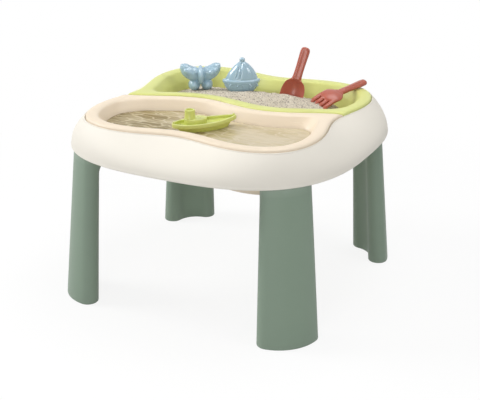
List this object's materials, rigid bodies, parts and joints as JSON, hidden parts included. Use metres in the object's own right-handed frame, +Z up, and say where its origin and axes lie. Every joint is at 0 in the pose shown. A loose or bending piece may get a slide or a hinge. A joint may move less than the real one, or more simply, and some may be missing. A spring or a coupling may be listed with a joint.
{
  "type": "sand and water table",
  "caption": "Child's sand and water play table: moulded frame on plug-in legs, two lift-out trays meeting at a wavy seam, and loose sand and water toys.",
  "frame": {"origin": "middle of the table on the floor, between the feet", "axes": "+X along the front from the left to the right leg (the frame's slightly longer side), +Y from the water side at the front to the sand side at the back, +Z up"},
  "size_m": [0.6872, 0.683, 0.5355],
  "materials": {
    "cream_plastic": "satin",
    "beige_plastic": "satin",
    "lime_plastic": "satin",
    "sage_plastic": "satin",
    "screw_steel": "satin",
    "water": "polished",
    "sand": "matte",
    "blue_plastic": "gloss",
    "terracotta_plastic": "gloss"
  },
  "bodies": {
    "table": {"top_frame": "cream_plastic", "leg_front_left": "sage_plastic", "leg_front_right": "sage_plastic", "leg_back_left": "sage_plastic", "leg_back_right": "sage_plastic", "leg_screw_front_left_1": "screw_steel", "leg_screw_front_left_2": "screw_steel", "leg_screw_front_right_1": "screw_steel", "leg_screw_front_right_2": "screw_steel", "leg_screw_back_left_1": "screw_steel", "leg_screw_back_left_2": "screw_steel", "leg_screw_back_right_1": "screw_steel", "leg_screw_back_right_2": "screw_steel"},
    "water_basin": {"water_tray": "beige_plastic", "water_fill": "water"},
    "sand_basin": {"sand_tray": "lime_plastic", "sand_fill": "sand"},
    "boat": {"boat_hull": "lime_plastic", "boat_deck": "lime_plastic"},
    "butterfly": {"butterfly_mould": "blue_plastic"},
    "sailboat": {"sailboat_mould": "blue_plastic"},
    "shovel": {"shovel": "terracotta_plastic"},
    "rake": {"rake": "terracotta_plastic"}
  },
  "joints": [
    {"name": "water_basin_lift", "type": "slide", "parent": "table", "child": "water_basin", "axis": [0, 0, 1], "range_m": [0, 0.15]},
    {"name": "sand_basin_lift", "type": "slide", "parent": "table", "child": "sand_basin", "axis": [0, 0, 1], "range_m": [0, 0.15]},
    {"name": "boat_lift", "type": "slide", "parent": "water_basin", "child": "boat", "axis": [0, 0, 1], "range_m": [0, 0.08]},
    {"name": "butterfly_lift", "type": "slide", "parent": "sand_basin", "child": "butterfly", "axis": [0, 0, 1], "range_m": [0, 0.08]},
    {"name": "sailboat_lift", "type": "slide", "parent": "sand_basin", "child": "sailboat", "axis": [0, 0, 1], "range_m": [0, 0.08]},
    {"name": "shovel_pull", "type": "slide", "parent": "sand_basin", "child": "shovel", "axis": [0.1684, 0.3189, 0.9327], "range_m": [0, 0.1]},
    {"name": "rake_lift", "type": "slide", "parent": "sand_basin", "child": "rake", "axis": [0, 0, 1], "range_m": [0, 0.08]}
  ]
}
